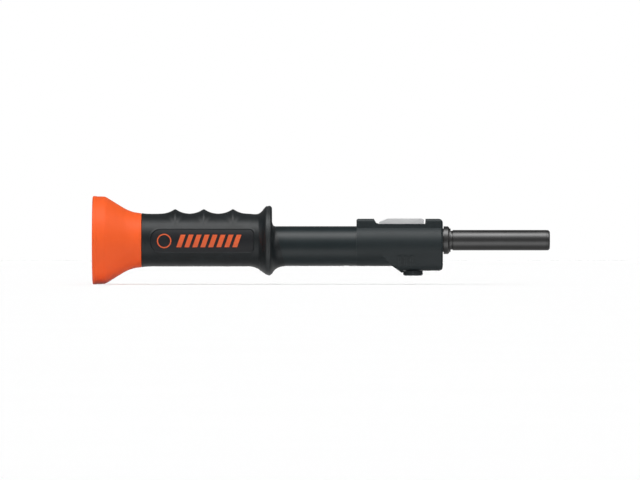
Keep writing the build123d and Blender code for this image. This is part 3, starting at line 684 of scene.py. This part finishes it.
def build_nose():
    """The polished nose: undercut ahead of the collar, a scribed ring and a crowned muzzle."""
    x0 = box_mm("barrel")[1].x + 0.02
    ring_r = NOSE_R - NOSE_RING_DEPTH
    outline = [(x0, LINER_R), (x0, UNDERCUT_R), (x0 + 1.4, UNDERCUT_R), (x0 + 1.8, NOSE_R)]
    outline += [(x0 + 2.4, NOSE_R), (-2.6, NOSE_R), (-2.45, ring_r), (-2.2, ring_r), (-2.05, NOSE_R - 0.02)]
    outline += arc(-NOSE_CROWN_R, NOSE_R - NOSE_CROWN_R, NOSE_CROWN_R, 85, 12, steps=9)
    outline += [(0.0, MUZZLE_BORE_R + 0.95), (0.0, MUZZLE_BORE_R + 0.4), (-0.45, MUZZLE_BORE_R)]
    outline += [(MUZZLE_BORE_END_X, MUZZLE_BORE_R), (MUZZLE_BORE_END_X, LINER_R)]
    nose = new_piece("muzzle_nose", lathe(outline), "barrel",
                     MATERIALS["barrel_steel"], ["muzzle_tube"])
    keep_edges_crisp(nose, 28)


CAP_RINGS = 40
CAP_EDGE = 1.3
CAP_BACK_R = 6.1


def hammer_dent(y, z):
    """How deep the strike face is beaten in, in millimetres: broad dents with finer marks on them."""
    broad = noise.noise(Vector((y * 0.55, z * 0.55, 3.1)))
    fine = noise.noise(Vector((y * 1.6, z * 1.6, 9.0)))
    return 0.22 * max(0.0, broad) + 0.10 * abs(fine)


def build_cap():
    """The strike cap: a flat face with small hammer dents, and a turned edge."""
    low, high = box_mm("strike_cap")
    face, back, r = low.x, high.x, high.z
    loops = [(face, (r - CAP_EDGE) * i / CAP_RINGS) for i in range(1, CAP_RINGS + 1)]
    loops += [(face + 0.35, r - 0.45), (face + CAP_EDGE, r), (back - 0.8, r), (back, r - 0.8)]
    loops.append((back, CAP_BACK_R))

    def build(bm):
        made = []
        for x, ring_r in loops:
            row = []
            for k in range(AROUND):
                a = 2 * math.pi * k / AROUND
                y, z = ring_r * math.sin(a), ring_r * math.cos(a)
                dent = hammer_dent(y, z) if x == face else 0.0
                row.append(bm.verts.new(((x + dent) * MM, y * MM, z * MM)))
            made.append(row)
        middle = bm.verts.new(((face + 0.05) * MM, 0, 0))
        for k in range(AROUND):
            bm.faces.new((middle, made[0][k], made[0][(k + 1) % AROUND]))
        join_rows(bm, made)
        bm.faces.new(made[-1])
    cap = new_piece("strike_cap_face", build, "striker",
                    MATERIALS["strike_steel"], ["strike_cap"])
    keep_edges_crisp(cap, 35)


KNURL_TEETH = 36
KNURL_AROUND = KNURL_TEETH * 6
KNURL_PROUD = 0.15
KNURL_DEPTH = 0.3
KNOB_LIFT = 0.12
STEM_R = 2.1


def build_knob():
    """The pull knob: straight knurling round a turned disc with rounded faces."""
    low, high = box_mm("plunger_knob")
    cx, r = (low.x + high.x) / 2, (high.x - low.x) / 2
    rim = r + KNURL_PROUD
    top, foot = high.z + KNOB_LIFT, low.z
    outline = [(top, STEM_R), (top, rim), (foot + 1.2, rim), (foot + 0.6, r - 0.2), (foot + 0.15, r - 0.8),
               (foot, r - 1.6), (foot, STEM_R + 0.8), (foot + 0.35, STEM_R + 0.4)]

    def build(bm):
        rows = []
        for z, ring_r in outline:
            depth = KNURL_DEPTH if ring_r == rim else 0.0
            row = []
            for k in range(KNURL_AROUND):
                a = 2 * math.pi * k / KNURL_AROUND
                tooth_r = ring_r - depth * (1 - abs(math.sin(a * KNURL_TEETH / 2)))
                x, y = cx + tooth_r * math.cos(a), tooth_r * math.sin(a)
                row.append(bm.verts.new((x * MM, y * MM, z * MM)))
            rows.append(row)
        join_rows(bm, rows)
        bm.faces.new(rows[0])
        bm.faces.new(rows[-1])
    knob = new_piece("pull_knob", build, "plunger", MATERIALS["knob_black"], ["plunger_knob"])
    keep_edges_crisp(knob, 40)


# ---------------------------------------------------------------- springs

SPRING_STEPS = 40
WIRE_SIDES = 12


def build_spring(name, node, along, wire, turns):
    """A round-wire spring with closed ends, filling its CAD node's box along its axis."""
    low, high = box_mm(node)
    mid = (low + high) / 2
    side, up = [k for k in range(3) if k != along]
    coil_r = (high[side] - low[side] - wire) / 2
    length = high[along] - low[along] - wire
    climb = [(0, 0.0), (1, wire), (turns - 1, length - wire), (turns, length)]

    def build(bm):
        rows = []
        for i in range(SPRING_STEPS * turns + 1):
            turn = i / SPRING_STEPS
            a = 2 * math.pi * turn
            row = []
            for k in range(WIRE_SIDES):
                b = 2 * math.pi * k / WIRE_SIDES
                r = coil_r + wire / 2 * math.cos(b)
                spot = mid.copy()
                spot[along] = low[along] + wire / 2 * (1 + math.sin(b)) + through(climb, turn)
                spot[side] += r * math.cos(a)
                spot[up] += r * math.sin(a)
                row.append(bm.verts.new(spot * MM))
            rows.append(row)
        join_rows(bm, rows)
        bm.faces.new(rows[0])
        bm.faces.new(rows[-1])
    spring = new_piece(name, build, "receiver", MATERIALS["spring_steel"], [node])
    keep_edges_crisp(spring, 50)
    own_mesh(spring)


# ---------------------------------------------------------------- stage

# The studio's brightness by angle round the tool's axis: 0 front, 90 above, 180 behind, -90 below.
STUDIO = ((-180, 0.20), (-160, 0.55), (-140, 0.55), (-120, 0.30), (-100, 0.30), (-66, 0.36), (-52, 0.95),
          (-24, 1.05), (-15, 0.34), (10, 0.24), (34, 0.42), (50, 1.60), (62, 3.40), (78, 3.40), (87, 1.60),
          (95, 0.42), (106, 0.16), (124, 0.12), (152, 0.14), (180, 0.20))
BRIGHTEST = max(level for _, level in STUDIO)
# The light fades to END_SHARE of itself between these shares of the way round to the tool's ends.
END_SHARE = 0.3
END_FADE = (0.55, 0.92)
FLOOR_REACH = 12.0
DOME_R = 9.4
CAMERA_DISTANCE = 8.0
VIEW_WIDTH = 0.4900
VIEW_SHIFT_X, VIEW_Z = -0.00095, 0.00015
SENSOR = 36


def studio_world():
    """Long soft lights that run along the tool: a bright one above the front, and a low fill."""
    world = bpy.data.worlds.new("studio")
    world.use_nodes = True
    tree = world.node_tree

    def sums(operation, *values):
        made = tree.nodes.new("ShaderNodeMath")
        made.operation = operation
        for value, socket in zip(values, made.inputs):
            if isinstance(value, bpy.types.NodeSocket):
                tree.links.new(value, socket)
            else:
                socket.default_value = value
        return made.outputs[0]

    def spread(value, kind, start, end):
        made = tree.nodes.new("ShaderNodeMapRange")
        made.interpolation_type = kind
        names = ("From Min", "From Max", "To Min", "To Max")
        for socket, number in zip(names, (*start, *end)):
            made.inputs[socket].default_value = number
        tree.links.new(value, made.inputs["Value"])
        return made.outputs["Result"]

    split = tree.nodes.new("ShaderNodeSeparateXYZ")
    tree.links.new(tree.nodes.new("ShaderNodeTexCoord").outputs["Generated"], split.inputs[0])
    angle = sums("ARCTAN2", split.outputs["Z"], sums("MULTIPLY", split.outputs["Y"], -1))
    ramp = tree.nodes.new("ShaderNodeValToRGB")
    ramp.color_ramp.interpolation = "EASE"
    elements = ramp.color_ramp.elements
    while len(elements) < len(STUDIO):
        elements.new(0.5)
    for element, (degrees, level) in zip(elements, STUDIO):
        element.position = (degrees + 180) / 360
        element.color = (level / BRIGHTEST,) * 3 + (1,)
    tree.links.new(spread(angle, "LINEAR", (-math.pi, math.pi), (0, 1)), ramp.inputs["Fac"])
    sideways = sums("ABSOLUTE", split.outputs["X"])
    strength = spread(sideways, "SMOOTHSTEP", END_FADE, (BRIGHTEST, END_SHARE * BRIGHTEST))
    background = tree.nodes["Background"]
    tree.links.new(ramp.outputs["Color"], background.inputs["Color"])
    tree.links.new(strength, background.inputs["Strength"])
    bpy.context.scene.world = world


def stage_piece(name, mesh, material):
    """A floor or surround. It is left out of reflections, as a studio sweep is."""
    mesh.materials.append(material)
    piece = bpy.data.objects.new(name, mesh)
    bpy.context.scene.collection.objects.link(piece)
    piece.visible_glossy = False
    return piece


def build_floor(floor_z):
    """A pale matt floor that the guard's rim rests on."""
    paper = Shader("floor_paper", 0.95, Specular_IOR_Level=0.0)
    paper.colour(paper.mix(paper.noise(9, 3, 0.5), (0.985, 0.985, 0.985), (1.0, 1.0, 1.0)))
    mesh = bpy.data.meshes.new("floor")
    corners = [(x * FLOOR_REACH, y * FLOOR_REACH, floor_z) for x, y in ((-1, -1), (1, -1), (1, 1), (-1, 1))]
    mesh.from_pydata(corners, [], [(0, 1, 2, 3)])
    stage_piece("floor", mesh, paper.material)


def build_dome(centre_x):
    """The white surround that the camera sees behind the tool. It gives no light and casts no shadow."""
    white = bpy.data.materials.new("surround_white")
    white.use_nodes = True
    tree = white.node_tree
    tree.nodes.clear()
    glow = tree.nodes.new("ShaderNodeEmission")
    glow.inputs["Color"].default_value = (1, 1, 1, 1)
    tree.links.new(glow.outputs[0], tree.nodes.new("ShaderNodeOutputMaterial").inputs["Surface"])
    bm = bmesh.new()
    bmesh.ops.create_uvsphere(bm, u_segments=48, v_segments=24, radius=DOME_R)
    mesh = bpy.data.meshes.new("surround")
    bm.to_mesh(mesh)
    bm.free()
    dome = stage_piece("surround", mesh, white)
    dome.location.x = centre_x
    dome.visible_diffuse = False
    dome.visible_shadow = False
    dome.visible_transmission = False


def build_camera(centre_x):
    """A long lens, square on to the side with the muzzle at its right."""
    camera_data = bpy.data.cameras.new("camera")
    camera = bpy.data.objects.new("camera", camera_data)
    bpy.context.scene.collection.objects.link(camera)
    camera.location = (centre_x + VIEW_SHIFT_X, -CAMERA_DISTANCE, VIEW_Z)
    camera.rotation_euler = (math.radians(90), 0, 0)
    camera_data.sensor_width = SENSOR
    camera_data.lens = SENSOR * CAMERA_DISTANCE / VIEW_WIDTH
    camera_data.clip_end = 4 * DOME_R
    bpy.context.scene.camera = camera
    bpy.context.scene.view_settings.view_transform = "Standard"


def build_stage():
    low, high = cad_bounds
    studio_world()
    build_floor(low[2])
    centre_x = (low[0] + high[0]) / 2
    build_dome(centre_x)
    build_camera(centre_x)


dress_cad_nodes()
build_guard()
build_grip()
build_nose()
build_cap()
build_knob()
build_spring("return_coil", "striker_spring", 0, 1.6, 14)
build_spring("plunger_coil", "plunger_spring", 2, 0.8, 5)
build_stage()
